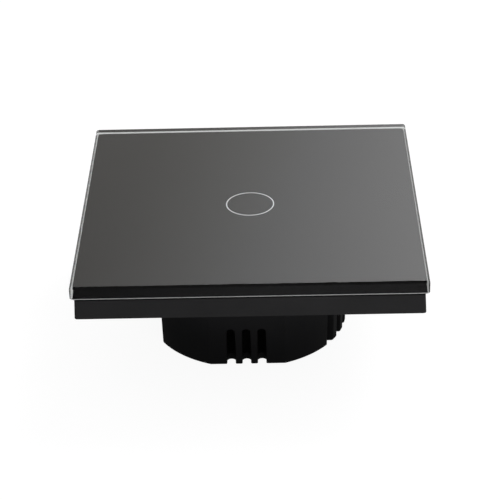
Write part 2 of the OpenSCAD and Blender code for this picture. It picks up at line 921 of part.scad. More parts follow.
// Disc on two leads
module varistor() {
    disc_t = 3.4;
    lift = 1;
    lead_x = 2.5;
    color([0.12, 0.25, 0.55])
        on_power_board(edge_x, edge_y) {
            translate([0, disc_t / 2, varistor_r + lift])
                rotate([90, 0, 0]) cylinder(r = varistor_r, h = disc_t);
            for (x = [-1, 1]) lead(x * min(lead_x, varistor_r - 1), varistor_r + lift);
        }
}

// Axial resistor that burns out on overload, on two bent leads
module fuse_resistor() {
    body_r = 1.6;
    lift = 0.6;
    lead_r = 0.35;
    lead_x = fuse_l / 2 + 0.9;
    axis_h = body_r + lift;
    color([0.3, 0.5, 0.42])
        on_power_board(edge_x, -edge_y) {
            translate([-fuse_l / 2, 0, axis_h]) rotate([0, 90, 0]) cylinder(r = body_r, h = fuse_l);
            translate([-lead_x, 0, axis_h])
                rotate([0, 90, 0]) cylinder(r = lead_r, h = 2 * lead_x);
            for (x = [-1, 1]) {
                lead(x * lead_x, axis_h, lead_r);
                translate([x * lead_x, 0, axis_h]) sphere(lead_r);
            }
        }
}

// Four-legged rectifier block
module bridge_rectifier() {
    lift = 0.3;
    leg_x = rectifier_size[0] / 4;
    color([0.1, 0.1, 0.1])
        on_power_board(film_x, rectifier_y) {
            translate([-rectifier_size[0] / 2, -rectifier_size[1] / 2, lift]) cube(rectifier_size);
            for (x = [-1, 1], side = [-1, 1])
                translate([x * leg_x, side * rectifier_size[1] / 2, 0])
                    translate([-rectifier_leg[0] / 2, -rectifier_leg[1] / 2, 0])
                        cube(rectifier_leg);
        }
}

// Terminals

// Insulating block, open towards the board's middle, with a nose that fills the wire window
module terminal_block() {
    nose_x = housing_shift - wire_flat - (z_wire - nose_h / 2) * tan(draft);
    color([0.12, 0.12, 0.125])
        difference() {
            union() {
                box([block_x, -block_w / 2, z_floor], [block_end, block_w / 2, z_mount]);
                box([nose_x + 2 * clear, -nose_w / 2, z_wire - nose_h / 2],
                    [block_x + block_wall / 2, nose_w / 2, z_wire + nose_h / 2]);
            }
            at_poles() {
                box([-cage_l / 2 - 2 * clear, -cavity_w / 2, z_web],
                    [block_end - cage_x + cut, cavity_w / 2, z_cavity]);
                box([bar_leg_x - fit, -bar_w / 2 - fit, z_cavity - cut],
                    [bar_leg_x + leg_t + fit, bar_w / 2 + fit, z_mount + cut]);
                translate([0, 0, z_head - cut])
                    cylinder(r = terminal_screw_r + clear, h = web_t + 2 * cut);
                translate([0, 0, z_floor - cut])
                    cylinder(r = terminal_head_r + clear, h = z_head - z_floor + cut);
                translate([-wire_flat - big / 2, 0, z_wire])
                    rotate([0, 90, 0]) cylinder(r = wire_r, h = wire_flat + big / 2);
            }
        }
}

// Fixed brass bars: each runs through its cage and turns up to the power board
module terminal_bars() {
    color([0.85, 0.68, 0.32])
        at_poles() {
            box([-cage_l / 2, -bar_w / 2, z_tip], [bar_leg_x + leg_t, bar_w / 2, z_bar]);
            box([bar_leg_x, -bar_w / 2, z_tip], [bar_leg_x + leg_t, bar_w / 2, z_mount]);
        }
}

// Brass cage that rises on its screw and pinches the wire against the bar
module clamp_cage(i) {
    window_w = cage_w - 2 * cage_side;
    color([0.8, 0.62, 0.28])
        translate([cage_x, pole_y(i), 0])
            difference() {
                box([-cage_l / 2, -cage_w / 2, z_cage_end], [cage_l / 2, cage_w / 2, z_cage]);
                box([-cage_l / 2 - cut, -window_w / 2, z_nut], [cage_l / 2 + cut, window_w / 2, z_gap]);
                translate([0, 0, z_cage_end - cut])
                    cylinder(r = terminal_screw_r + thread_fit, h = nut_t + 2 * cut);
            }
}

// Slotted clamp screw: its head turns in the block and its tip bears on the bar
module terminal_screw(i) {
    slot = 0.6;
    slot_d = 0.8;
    color([0.75, 0.75, 0.77])
        translate([cage_x, pole_y(i), 0])
            difference() {
                union() {
                    translate([0, 0, z_head - terminal_head_h])
                        cylinder(r = terminal_head_r, h = terminal_head_h);
                    translate([0, 0, z_head - terminal_head_h / 2])
                        cylinder(r = terminal_screw_r, h = z_tip - z_head + terminal_head_h / 2);
                }
                translate([-terminal_head_r - cut, -slot / 2, z_head - terminal_head_h - cut])
                    cube([2 * (terminal_head_r + cut), slot, slot_d + cut]);
            }
}

glass_panel();
back_print();
touch_ring();
glass_tape();
panel_frame();
mounting_plate();
front_cover();
light_guide();
touch_board();
touch_pad();
indicator_leds();
touch_chip();
touch_board_parts();
header_socket();
header_strip();
header_pins();
power_board();
relay_base();
relay_cover();
relay_coil();
relay_yoke();
relay_armature();
relay_spring();
relay_contacts();
film_capacitor();
smoothing_capacitor();
varistor();
fuse_resistor();
bridge_rectifier();
terminal_block();
terminal_bars();
clamp_cage(1);  // clamp_cage_1
clamp_cage(2);  // clamp_cage_2
clamp_cage(3);  // clamp_cage_3
terminal_screw(1);  // terminal_screw_1
terminal_screw(2);  // terminal_screw_2
terminal_screw(3);  // terminal_screw_3
rear_housing();
housing_screws();
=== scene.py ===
"""Touch light switch with a square glass panel: the finish of every piece, the stage and the camera.

Lengths are in metres, in the frame's own axes: +Z out of the wall through the glass, +Y up the wall.
"""

import math

import bpy
import numpy as np
from mathutils import Matrix, Vector


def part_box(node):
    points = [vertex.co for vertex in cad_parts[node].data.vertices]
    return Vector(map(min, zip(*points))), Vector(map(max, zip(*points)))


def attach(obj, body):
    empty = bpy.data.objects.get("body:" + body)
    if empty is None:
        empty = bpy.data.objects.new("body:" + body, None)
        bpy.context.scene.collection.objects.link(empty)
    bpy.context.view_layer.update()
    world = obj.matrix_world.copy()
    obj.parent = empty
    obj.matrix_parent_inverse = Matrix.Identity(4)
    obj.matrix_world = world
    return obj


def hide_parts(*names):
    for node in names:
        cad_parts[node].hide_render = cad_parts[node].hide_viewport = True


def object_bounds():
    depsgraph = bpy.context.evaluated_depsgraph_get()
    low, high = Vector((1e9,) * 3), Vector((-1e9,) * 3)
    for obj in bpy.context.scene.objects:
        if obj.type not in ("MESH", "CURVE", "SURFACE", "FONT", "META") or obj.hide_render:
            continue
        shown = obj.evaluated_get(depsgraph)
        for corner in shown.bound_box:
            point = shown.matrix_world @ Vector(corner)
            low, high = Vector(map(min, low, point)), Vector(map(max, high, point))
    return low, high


bl_info = {
    "name": "Touch light switch",
    "version": (1, 0, 0),
    "blender": (4, 5, 0),
    "location": "3D View > Sidebar > Switch",
    "description": "Finishes the pieces of a glass touch light switch and sets its stage",
    "category": "Add Mesh",
}

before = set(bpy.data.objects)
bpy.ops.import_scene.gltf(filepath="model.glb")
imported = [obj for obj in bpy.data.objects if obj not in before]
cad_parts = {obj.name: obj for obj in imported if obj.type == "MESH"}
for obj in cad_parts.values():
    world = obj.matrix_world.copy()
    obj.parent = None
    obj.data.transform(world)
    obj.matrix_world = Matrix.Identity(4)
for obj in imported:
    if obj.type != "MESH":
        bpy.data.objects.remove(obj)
CAD_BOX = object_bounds()

MM = 0.001
HAIR = 1e-6
LEAST_ARC = 10 * HAIR
NEAR_HULL = 20 * HAIR
LEAD_RADIUS = 0.35 * MM
QUARTER = math.pi / 2
SOFT_ANGLE = math.radians(30)
FLAT_ANGLE = math.radians(0.3)
BLACK = (0.0, 0.0, 0.0)
WHITE = (1.0, 1.0, 1.0)


# Settings


def number(name, description, default, **more):
    """A number setting."""
    return bpy.props.FloatProperty(name=name, description=description, default=default, **more)


def length(name, description, default):
    """A length setting, in metres."""
    return number(name, description, default, subtype="DISTANCE", unit="LENGTH", precision=5)


def angle(name, description, degrees):
    """An angle setting, given in degrees."""
    return number(name, description, math.radians(degrees), subtype="ANGLE", unit="ROTATION")


def level(name, description, default):
    """A setting for a share or a brightness."""
    return number(name, description, default, min=0, subtype="FACTOR")


def triple(name, description, default, **more):
    """A setting of three numbers."""
    return bpy.props.FloatVectorProperty(name=name, description=description, default=default, **more)


def colour(name, description, default):
    """A linear colour setting."""
    return triple(name, description, default, min=0, max=1, subtype="COLOR")


class PanelSettings(bpy.types.PropertyGroup):
    """Glass, back print and ring"""

    glass_corner: length("Glass corner", "Radius of the glass's corners", 0.4 * MM)
    glass_bevel: length("Glass bevel", "Polished bevel of the front edges", 0.45 * MM)
    glass_chamfer: length("Glass chamfer", "Ground chamfer of the rear edges", 0.5 * MM)
    glass_arris: length("Glass arris", "Rounding where the chamfers meet the faces", 0.06 * MM)
    print_corner: length("Print corner", "Radius of the ink's corners", 0.4 * MM)
    print_bond: length("Print bond", "How far the ink keys into the glass", 0.02 * MM)
    ring_line: length("Ring line", "Width of the ring's line", 0.3 * MM)
    glass_index: level("Glass index", "Refractive index of the glass", 1.52)
    frost: level("Frost", "Share of light that the ground chamfer throws back", 0.7)
    haze: level("Haze", "Roughness of the glass where it is handled", 0.01)
    ring_glow: level("Ring glow", "Standby light through the ring", 0.12)
    glass_colour: colour("Glass", "Tint of the glass", (0.97, 0.985, 0.98))
    ink_colour: colour("Ink", "Black back print", (0.008, 0.008, 0.0085))
    ring_colour: colour("Ring", "Pale translucent print", (0.82, 0.83, 0.85))


class PlasticSettings(bpy.types.PropertyGroup):
    """Moulded pieces"""

    edge: length("Edge", "Rounding of the moulded edges", 0.15 * MM)
    housing_edge: length("Housing edge", "Rounding of the housing's outer edges", 0.25 * MM)
    fine_edge: length("Fine edge", "Rounding of the small pieces' edges", 0.06 * MM)
    # Painted light: the housing's tone is painted up to this many times paler at the wall than at its foot.
    housing_painted_light: level("Housing lift", "How much paler the housing is at the wall than at its foot", 6.0)
    frame_colour: colour("Panel frame", "Satin black of the frame", (0.0255, 0.0252, 0.0262))
    cover_colour: colour("Front cover", "Satin black of the cover", (0.018, 0.018, 0.019))
    # Painted shade: this black is partly the housing's own deep black and partly the shade under the panel,
    # painted into its colour.
    housing_black_and_shade: colour("Rear housing", "Deep black of the housing", (0.006, 0.006, 0.0064))
    terminal_colour: colour("Terminal block", "Dark grey of the block", (0.03, 0.03, 0.032))
    connector_colour: colour("Connectors", "Black of the connectors", (0.012, 0.012, 0.012))
    relay_colour: colour("Relay cover", "Blue of the relay's cover", (0.02, 0.06, 0.26))
    film_colour: colour("Film capacitor", "Yellow of its case", (0.6, 0.4, 0.035))
    tape_colour: colour("Tape", "Black of the foam tape", (0.012, 0.012, 0.012))
    guide_colour: colour("Light guide", "Milky plastic of the guide", (0.88, 0.89, 0.89))
    guide_haze: colour("Light guide haze", "Guide where it is hazy", (0.74, 0.76, 0.77))


class MetalSettings(bpy.types.PropertyGroup):
    """Metal pieces"""

    edge: length("Edge", "Rounding of the pressed and turned edges", 0.05 * MM)
    steel_colour: colour("Plated steel", "Zinc plating", (0.62, 0.63, 0.65))
    iron_colour: colour("Soft iron", "Plated relay iron", (0.5, 0.5, 0.52))
    brass_colour: colour("Brass", "Bright brass", (0.78, 0.56, 0.24))
    copper_colour: colour("Copper", "Bare copper", (0.8, 0.38, 0.2))
    tin_colour: colour("Tin", "Tinned leads and legs", (0.72, 0.72, 0.71))


class BoardSettings(bpy.types.PropertyGroup):
    """Circuit boards and the parts on them"""

    mask_colour: colour("Solder mask", "Green mask over bare laminate", (0.012, 0.12, 0.05))
    track_colour: colour("Tracks", "Green mask over copper tracks", (0.03, 0.22, 0.085))
    laminate_colour: colour("Laminate", "Bare edge of the laminate", (0.4, 0.35, 0.16))
    chip_colour: colour("Chip", "Moulded epoxy of the chips", (0.014, 0.014, 0.015))
    ceramic_colour: colour("Ceramic", "Body of the chip parts", (0.36, 0.26, 0.16))
    lamp_colour: colour("Lamp", "Resin of the lamps", (0.85, 0.78, 0.42))
    sleeve_colour: colour("Sleeve", "Shrunk sleeve of the can", (0.012, 0.012, 0.03))
    stripe_colour: colour("Stripe", "Pale stripe on the sleeve", (0.5, 0.52, 0.55))
    varistor_colour: colour("Varistor", "Dipped coat of the varistor", (0.02, 0.1, 0.4))
    resistor_colour: colour("Resistor", "Flameproof coat of the resistor", (0.08, 0.24, 0.18))
    band_colour: colour("Band", "Dark bands on the resistor", (0.05, 0.02, 0.012))
    wire_colour: colour("Winding", "Enamelled wire of the coil", (0.5, 0.16, 0.03))


class StageSettings(bpy.types.PropertyGroup):
    """Camera, floor and light"""

    aim: triple(
        "Aim", "Point that the camera looks at", (0.0001, -0.02455, 0.0086),
        subtype="TRANSLATION", unit="LENGTH"
    )
    distance: length("Distance", "From the camera to its aim", 0.41174)
    azimuth: angle("Azimuth", "Turn of the camera round the switch", 0.972)
    elevation: angle("Elevation", "Height above the wall's plane", 29.834)
    roll: angle("Roll", "Tilt about the line of view", -1.55)
    lens: number("Lens", "Focal length in millimetres", 129.86, unit="CAMERA")
    floor_size: length("Floor", "Half the side of the floor", 4.0)
    floor_colour: colour("Floor colour", "Pale floor, as it lights the switch", (0.6, 0.6, 0.6))
    floor_shade: level("Floor shade", "Share of light and shade that the eye sees on it", 0.15)
    floor_white: level("Floor white", "White that the eye sees on it", 0.92)
    floor_gloss_low: level("Floor gloss low", "Brightness in gloss on the left", 0.06)
    floor_gloss_high: level("Floor gloss high", "Brightness in gloss on the right", 0.2)
    floor_gloss_back: level("Floor gloss back", "Brightness in gloss behind the switch", 0.7)
    room_light: level("Room light", "Even light of the room", 0.5)
    front_gloss: level("Front gloss", "Brightness that gloss sees in front", 0.05)
    soft_gloss_low: level("Soft gloss low", "Brightness that gloss sees beside the soft box", 0.65)
    soft_gloss_high: level("Soft gloss high", "Brightness that gloss sees in the soft box", 2.6)
    warm_colour: colour("Warm side", "Tint of the room beside the soft box", (1.0, 0.975, 0.93))
    key_power: number("Key", "Power of the soft box behind the switch", 5.0, unit="POWER")
    fill_power: number("Fill", "Power of the soft box in front", 1.2, unit="POWER")


# Node trees


def solid(rgb):
    """A colour with full alpha."""
    return (*rgb, 1.0)


def shaded(rgb, share):
    """A colour made darker or lighter by a share."""
    return tuple(min(1.0, part * share) for part in rgb)


class Nodes:
    """A node tree in the making. Its values and colours are sockets or constants."""

    def __init__(self, tree):
        self.tree = tree

    def feed(self, socket, value):
        """Links another socket to an input, or sets the input to a constant."""
        if isinstance(value, bpy.types.NodeSocket):
            self.tree.links.new(value, socket)
        else:
            socket.default_value = value

    def add(self, kind, inputs=(), **settings):
        """Adds a node and sets its properties and its inputs."""
        node = self.tree.nodes.new(kind)
        for name, value in settings.items():
            setattr(node, name, value)
        for name, value in dict(inputs).items():
            self.feed(node.inputs[name], value)
        return node

    def reckon(self, operation, *values):
        """One step of arithmetic."""
        return self.add("ShaderNodeMath", dict(enumerate(values)), operation=operation).outputs["Value"]

    def parts(self, vector):
        """The parts X, Y and Z of a vector."""
        return self.add("ShaderNodeSeparateXYZ", {0: vector}).outputs

    def between(self, share, low=0.0, high=1.0, start=0.3, end=0.7, **settings):
        """A value that goes from low to high as share goes from start to end."""
        values = {"Value": share, "From Min": start, "From Max": end, "To Min": low, "To Max": high}
        return self.add("ShaderNodeMapRange", values, **settings).outputs["Result"]

    def mixed(self, share, first, second):
        """The first value where share is 0 and the second where it is 1."""
        return self.add("ShaderNodeMix", {"Factor": share, "A": first, "B": second}).outputs["Result"]

    def blended(self, share, first, second):
        """The first colour where share is 0 and the second where it is 1."""
        mix = self.add("ShaderNodeMix", {"Factor": share}, data_type="RGBA")
        sockets = {socket.identifier: socket for socket in (*mix.inputs, *mix.outputs)}
        for name, rgb in (("A_Color", first), ("B_Color", second)):
            self.feed(sockets[name], rgb if isinstance(rgb, bpy.types.NodeSocket) else solid(rgb))
        return sockets["Result_Color"]

    def tones(self, share, low, high, start=0.3, end=0.7):
        """A colour that goes from low to high as share goes from start to end."""
        ramp = self.add("ShaderNodeValToRGB", {"Fac": share})
        for stop, place, rgb in zip(ramp.color_ramp.elements, (start, end), (low, high)):
            stop.position = place
            stop.color = solid(rgb)
        return ramp.outputs["Color"]


class Finish(Nodes):
    """A material in the making. Its shader's sockets are named with _ for each space."""

    def __init__(self, name, **constants):
        self.material = bpy.data.materials.new(name)
        self.material.use_nodes = True
        super().__init__(self.material.node_tree)
        self.place = self.add("ShaderNodeTexCoord").outputs["Object"]
        self.shade(**constants)

    def shade(self, **values):
        """Feeds the shader."""
        shader = self.tree.nodes["Principled BSDF"]
        for name, value in values.items():
            self.feed(shader.inputs[name.replace("_", " ")], value)

    def done(self, relief=None, depth=0.0, **values):
        """Feeds the shader, with a relief whose full range is depth, and returns the material."""
        self.shade(**values)
        if relief:
            bump = self.add("ShaderNodeBump", {"Height": relief, "Distance": depth})
            self.shade(Normal=bump.outputs["Normal"])
        return self.material

    def noise(self, size, detail=2.0, stretch=None):
        """Noise whose patches are about size across, drawn out along an axis where stretch is under 1."""
        place = self.place
        if stretch:
            place = self.add("ShaderNodeMapping", {"Vector": place, "Scale": stretch}).outputs["Vector"]
        values = {"Vector": place, "Scale": 1 / size, "Detail": detail}
        return self.add("ShaderNodeTexNoise", values).outputs["Fac"]

    def cells(self, size):
        """Distance from the middle of the nearest of cells that are about size across."""
        values = {"Vector": self.place, "Scale": 1 / size}
        return self.add("ShaderNodeTexVoronoi", values).outputs["Distance"]

    def marked(self, name):
        """What was marked under this name on a piece's points."""
        return self.add("ShaderNodeAttribute", attribute_name=name).outputs["Fac"]

    def mottled(self, share, rgb, dark, light):
        """A colour that goes from a darker to a lighter shade of itself with a share."""
        return self.tones(share, shaded(rgb, dark), shaded(rgb, light))


# Surfaces


def ring_quads(rows, columns, close_rows=False, start=0):
    """Quads of a grid whose columns close on themselves, and whose rows do with close_rows.

    Point (i, j) is number start + i * columns + j, and its quad joins row i + 1 and column j + 1.
    """
    i, j = np.meshgrid(np.arange(rows if close_rows else rows - 1), np.arange(columns), indexing="ij")
    below = (i + 1) % rows
    beside = (j + 1) % columns
    corners = (i * columns + j, i * columns + beside, below * columns + beside, below * columns + j)
    return (start + np.stack(corners, axis=-1)).reshape(-1, 4).tolist()


def capped_quads(rows, columns, start):
    """Quads of a grid with closed columns, with a flat face over its first row and its last."""
    first = np.arange(start, start + columns)[::-1].tolist()
    last = np.arange(start + (rows - 1) * columns, start + rows * columns).tolist()
    return ring_quads(rows, columns, start=start) + [first, last]


def joined(*surfaces):
    """Points and faces of several grids, each closed round and capped at both ends, as one mesh."""
    points = np.empty((0, 3))
    faces = []
    for surface in surfaces:
        faces += capped_quads(*surface.shape[:2], start=len(points))
        points = np.concatenate([points, surface.reshape(-1, 3)])
    return points, faces


def scaled(vectors, reach=1.0):
    """Vectors made this long."""
    return reach * vectors / np.linalg.norm(vectors, axis=1, keepdims=True)


def eased(corners, radius, steps=4):
    """An open line of straight runs with each inner corner rounded.

    A corner V becomes the curve (1 - t)^2 A + 2 t (1 - t) V + t^2 B, where A and B lie on its two
    runs at the distance radius from V.
    """
    corners = np.asarray(corners, float)
    inner = corners[1:-1]
    start = inner + scaled(corners[:-2] - inner, radius)
    end = inner + scaled(corners[2:] - inner, radius)
    t = np.linspace(0, 1, steps + 1)[None, :, None]
    curve = (1 - t) ** 2 * start[:, None] + 2 * t * (1 - t) * inner[:, None] + t**2 * end[:, None]
    return np.concatenate([corners[:1], curve.reshape(-1, corners.shape[1]), corners[-1:]])


def round_square(section, half, corner, steps=10):
    """A section carried round a square with round corners.

    A section point (d, z) lies d inside the outline at height z. On a corner's arc at angle a it is
    the arc's centre plus r times (cos a, sin a), where r is corner - d, or the least arc where that
    is less, and the centre lies d + r inside both sides. The sides join one arc to the next.
    """
    quarter = np.repeat(np.arange(4), steps + 1)
    turn = (quarter + np.tile(np.linspace(0, 1, steps + 1), 4)) * QUARTER
    diagonal = (quarter + 0.5) * QUARTER
    depth, height = np.asarray(section).T
    reach = np.maximum(corner - depth, LEAST_ARC)[:, None]
    centre = half - depth[:, None] - reach
    x = centre * np.sign(np.cos(diagonal)) + reach * np.cos(turn)
    y = centre * np.sign(np.sin(diagonal)) + reach * np.sin(turn)
    return np.stack([x, y, np.broadcast_to(height[:, None], x.shape)], axis=-1)


def square_reach(turn, half, corner):
    """Distance from the middle of a square with round corners to its outline, at each angle.

    Along the direction u that is half / max |u|, and past a corner's tangent points it is
    u.c + sqrt((u.c)^2 - |c|^2 + corner^2), where c is the centre of that corner's arc.
    """
    u = np.abs(np.stack([np.cos(turn), np.sin(turn)]))
    straight = half / u.max(axis=0)
    centre = half - corner
    along = u.sum(axis=0) * centre
    arc = along + np.sqrt(np.maximum(along**2 - 2 * centre**2 + corner**2, 0))
    return np.where(straight * u.min(axis=0) > centre, arc, straight)


def turned(section, origin, axis, ripple=0.0, pitch=1.0, steps=64):
    """A section turned about an axis, with a wound ripple on the rows that have one.

    A section point (s, r) at angle a is the origin plus s along the axis, plus
    r + ripple * cos(2 pi s / pitch + a) times the direction of a across the axis.
    """
    axis = np.asarray(axis, float)
    across = np.roll(axis, 1)
    turn = np.linspace(0, math.tau, steps, endpoint=False)
    round_about = np.cos(turn)[:, None] * across + np.sin(turn)[:, None] * np.cross(axis, across)
    along, radius = (part[:, None, None] for part in np.asarray(section, float).T)
    ripple = np.broadcast_to(ripple, along.shape[0])[:, None, None]
    waves = ripple * np.cos(math.tau * along / pitch + turn[None, :, None])
    return np.asarray(origin) + along * axis + (radius + waves) * round_about


def bent_wire(route, across=(0, 1, 0), radius=LEAD_RADIUS, sides=12):
    """A round wire carried along a flat route.

    At each point of the route the circle of the radius stands on the directions across and
    across x tangent, where across is the direction square to the route's plane.
    """
    across = np.asarray(across, float)
    beside = np.cross(across, scaled(np.gradient(route, axis=0)))
    turn = np.linspace(0, math.tau, sides, endpoint=False)[None, :, None]
    return route[:, None] + radius * (np.cos(turn) * beside[:, None] + np.sin(turn) * across)


def node_box(node):
    """The lowest and the highest corner of a node, its middle and half its size."""
    low, high = np.array(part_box(node), float)
    return low, high, (low + high) / 2, (high - low) / 2


def new_piece(name, points, faces, material, body, slot, node, soft=SOFT_ANGLE):
    """Puts a surface into the scene as a piece that moves with a body and stands for a node."""
    mesh = bpy.data.meshes.new(name)
    mesh.from_pydata(np.reshape(points, (-1, 3)).tolist(), [], faces)
    mesh.shade_smooth()
    mesh.set_sharp_from_angle(angle=soft)
    mesh.materials.append(material)
    piece = bpy.data.objects.new(name, mesh)
    bpy.context.scene.collection.objects.link(piece)
    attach(piece, body)
    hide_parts(node)
    return piece


def mark(piece, name, rows, columns):
    """Writes the product of a row's value and a column's value on every point of a piece's grid."""
    values = np.outer(rows, columns).astype(np.float32).ravel()
    piece.data.attributes.new(name, "FLOAT", "POINT").data.foreach_set("value", values)


def outer_edges(name, top):
    """Weights on the sharp edges outside a piece, up to a height, and crisp shading at the others.

    An edge counts where it bends outward by more than the soft angle, its middle lies near the
    piece's convex hull and that middle is lower than top.
    """
    group = bpy.data.node_groups.new(name, "GeometryNodeTree")
    for way in ("INPUT", "OUTPUT"):
        group.interface.new_socket("Geometry", in_out=way, socket_type="NodeSocketGeometry")
    nodes = Nodes(group)
    piece = nodes.add("NodeGroupInput").outputs["Geometry"]
    hull = nodes.add("GeometryNodeConvexHull", {"Geometry": piece}).outputs["Convex Hull"]
    gap = nodes.add("GeometryNodeProximity", {0: hull}).outputs["Distance"]
    middle = nodes.parts(nodes.add("GeometryNodeInputPosition").outputs["Position"])
    bend = nodes.add("GeometryNodeInputMeshEdgeAngle").outputs
    outside = nodes.reckon("LESS_THAN", gap, NEAR_HULL)
    low = nodes.reckon("LESS_THAN", middle["Z"], top)
    outward = nodes.reckon("GREATER_THAN", bend["Signed Angle"], SOFT_ANGLE)
    weight = nodes.reckon("MULTIPLY", nodes.reckon("MULTIPLY", outside, low), outward)
    values = {"Geometry": piece, "Name": "bevel_weight_edge", "Value": weight}
    weighted = nodes.add("GeometryNodeStoreNamedAttribute", values, data_type="FLOAT", domain="EDGE")
    sharp = nodes.reckon("GREATER_THAN", bend["Unsigned Angle"], SOFT_ANGLE)
    smooth = nodes.reckon("SUBTRACT", 1.0, nodes.reckon("SUBTRACT", sharp, weight))
    values = {"Geometry": weighted.outputs["Geometry"], "Shade Smooth": smooth}
    crisp = nodes.add("GeometryNodeSetShadeSmooth", values, domain="EDGE")
    nodes.add("NodeGroupOutput", {"Geometry": crisp.outputs["Geometry"]})
    return group


def modify(piece, name, kind, **settings):
    """Adds a modifier with these settings."""
    modifier = piece.modifiers.new(name, kind)
    for setting, value in settings.items():
        setattr(modifier, setting, value)


def finish_nodes(material, *nodes, edge=0.0, segments=2, weights=None):
    """Gives nodes of the frame their material and, with an edge, soft edges over their own meshes.

    A material of None leaves each node its own. With weights, a group that weights edges, only
    those are softened.
    """
    limit = "WEIGHT" if weights else "ANGLE"
    for piece in (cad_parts[node] for node in nodes):
        for place in piece.material_slots:
            place.material = material or place.material
        if not edge:
            continue
        modify(piece, "join", "WELD", merge_threshold=HAIR)
        modify(piece, "flats", "DECIMATE", decimate_type="DISSOLVE", angle_limit=FLAT_ANGLE)
        if weights:
            modify(piece, "weights", "NODES", node_group=weights)
        modify(
            piece, "edges", "BEVEL", width=edge, segments=segments, limit_method=limit,
            angle_limit=SOFT_ANGLE, use_clamp_overlap=False, miter_outer="MITER_ARC"
        )
        modify(piece, "shading", "WEIGHTED_NORMAL", keep_sharp=True)


# Finishes


def moulded(name, rgb, roughness=0.45, shine=0.3, foot=0.0, painted_lift=1.0):
    """Moulded plastic: eroded grain as relief, with flow clouds in its tone and gloss.

    With a foot, painted light raises the tone from that depth behind the wall up to the wall, to the given
    factor at the wall, so the piece is painted paler near the wall and darker towards its foot.
    """
    finish = Finish(name, Specular_IOR_Level=shine)
    dark, light = 0.8, 1.2
    grain = finish.noise(size=0.25 * MM, detail=3.0)
    tone = finish.mixed(0.4, finish.noise(size=14 * MM, detail=3.0), grain)
    hue = finish.mottled(tone, rgb, dark, light)
    # Painted light: the tone is painted paler towards the wall and darker towards the foot.
    if foot:
        z = finish.parts(finish.place)["Z"]
        painted_rise = finish.reckon("POWER", finish.between(z, start=-foot, end=0.0), 2.0)
        hue = finish.blended(painted_rise, hue, finish.mottled(tone, rgb, dark * painted_lift, light * painted_lift))
    gloss = finish.between(tone, roughness - 0.06, roughness + 0.06)
    return finish.done(Base_Color=hue, Roughness=gloss, relief=grain, depth=0.006 * MM)


def metal(name, rgb, roughness=0.3, stretch=None):
    """Bare or plated metal: clouds of tarnish in its tone and streaks of rolling or turning."""
    finish = Finish(name, Metallic=1.0)
    tarnish = finish.noise(size=6 * MM, detail=4.0)
    streaks = finish.noise(size=0.15 * MM, detail=3.0, stretch=stretch)
    hue = finish.mottled(tarnish, rgb, dark=0.82, light=1.08)
    gloss = finish.between(finish.mixed(0.6, tarnish, streaks), roughness - 0.08, roughness + 0.1)
    return finish.done(Base_Color=hue, Roughness=gloss, relief=streaks, depth=0.002 * MM)


def dipped(name, rgb):
    """Dipped or sleeved coat: a glossy skin with slow waves and small pits."""
    finish = Finish(name, Specular_IOR_Level=0.5, Coat_Weight=0.3)
    waves = finish.noise(size=1.1 * MM, detail=1.0)
    hue = finish.mottled(waves, rgb, dark=0.8, light=1.15)
    gloss = finish.between(finish.noise(size=0.2 * MM), low=0.18, high=0.33)
    return finish.done(Base_Color=hue, Roughness=gloss, relief=waves, depth=0.02 * MM)


def clear_glass(panel):
    """Clear float glass, polished on its faces and sides, with the faintest haze of handling."""
    tint = solid(panel.glass_colour)
    finish = Finish("clear_glass", IOR=panel.glass_index, Base_Color=tint, Transmission_Weight=1.0)
    handling = finish.noise(size=16 * MM, detail=3.0)
    return finish.done(Roughness=finish.between(handling, high=panel.haze))


def ground_glass(panel):
    """Finely ground edge: part of the light comes through it scattered and part is thrown back."""
    finish = Finish("ground_glass", IOR=panel.glass_index, Transmission_Weight=1.0 - panel.frost)
    grinding = finish.noise(size=0.3 * MM)
    hue = finish.mottled(grinding, panel.glass_colour, dark=0.9, light=1.0)
    return finish.done(Base_Color=hue, Roughness=finish.between(grinding, low=0.55, high=0.75))


def printed(name, rgb, glow=0.0):
    """Screen-printed ink against glass: an even coat with the faint mesh of the screen in its tone."""
    finish = Finish(name, Roughness=0.7, Specular_IOR_Level=0.0, Emission_Strength=glow)
    tone = finish.mixed(0.3, finish.noise(size=9 * MM, detail=3.0), finish.cells(size=0.12 * MM))
    hue = finish.mottled(tone, rgb, dark=0.85, light=1.1)
    return finish.done(Base_Color=hue, Emission_Color=solid(rgb))


def foam_tape(plastic):
    """Foam tape: closed cells in its cut edges."""
    finish = Finish("foam_tape", Roughness=0.85, Specular_IOR_Level=0.2)
    cells = finish.cells(size=0.12 * MM)
    hue = finish.mottled(cells, plastic.tape_colour, dark=0.5, light=1.5)
    return finish.done(Base_Color=hue, relief=cells, depth=0.03 * MM)


def frosted_guide(plastic):
    """Milky clear plastic of the light guide."""
    finish = Finish("frosted_guide", Transmission_Weight=0.6, IOR=1.49, Specular_IOR_Level=0.5)
    hue = finish.tones(finish.noise(size=2.5 * MM, detail=3.0), plastic.guide_haze, plastic.guide_colour)
    frost = finish.noise(size=0.12 * MM)
    gloss = finish.between(frost, low=0.25, high=0.45)
    return finish.done(Base_Color=hue, Roughness=gloss, relief=frost, depth=0.004 * MM)


